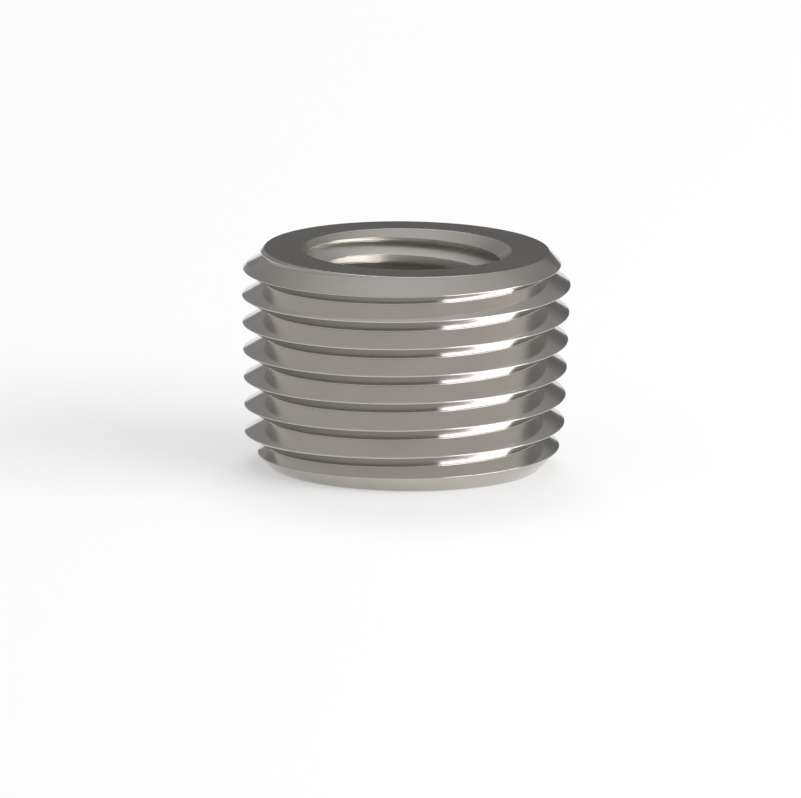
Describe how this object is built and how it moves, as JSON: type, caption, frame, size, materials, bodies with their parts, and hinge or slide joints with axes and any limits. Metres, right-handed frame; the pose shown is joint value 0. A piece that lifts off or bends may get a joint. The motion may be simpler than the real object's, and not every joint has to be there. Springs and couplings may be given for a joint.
{
  "type": "threaded reducing bushing",
  "caption": "Short round steel reducing bushing with a coarse taper thread outside, a finer taper thread in its through hole, and chamfered ends.",
  "frame": {"origin": "middle of the small end's face, on the thread axis", "axes": "+Z along the thread axis, from the small end to the large end; +X to the right in the picture"},
  "size_m": [0.0214, 0.0215, 0.0143],
  "materials": {
    "steel": "turned"
  },
  "bodies": {
    "root": {"bushing": "steel"}
  },
  "joints": []
}
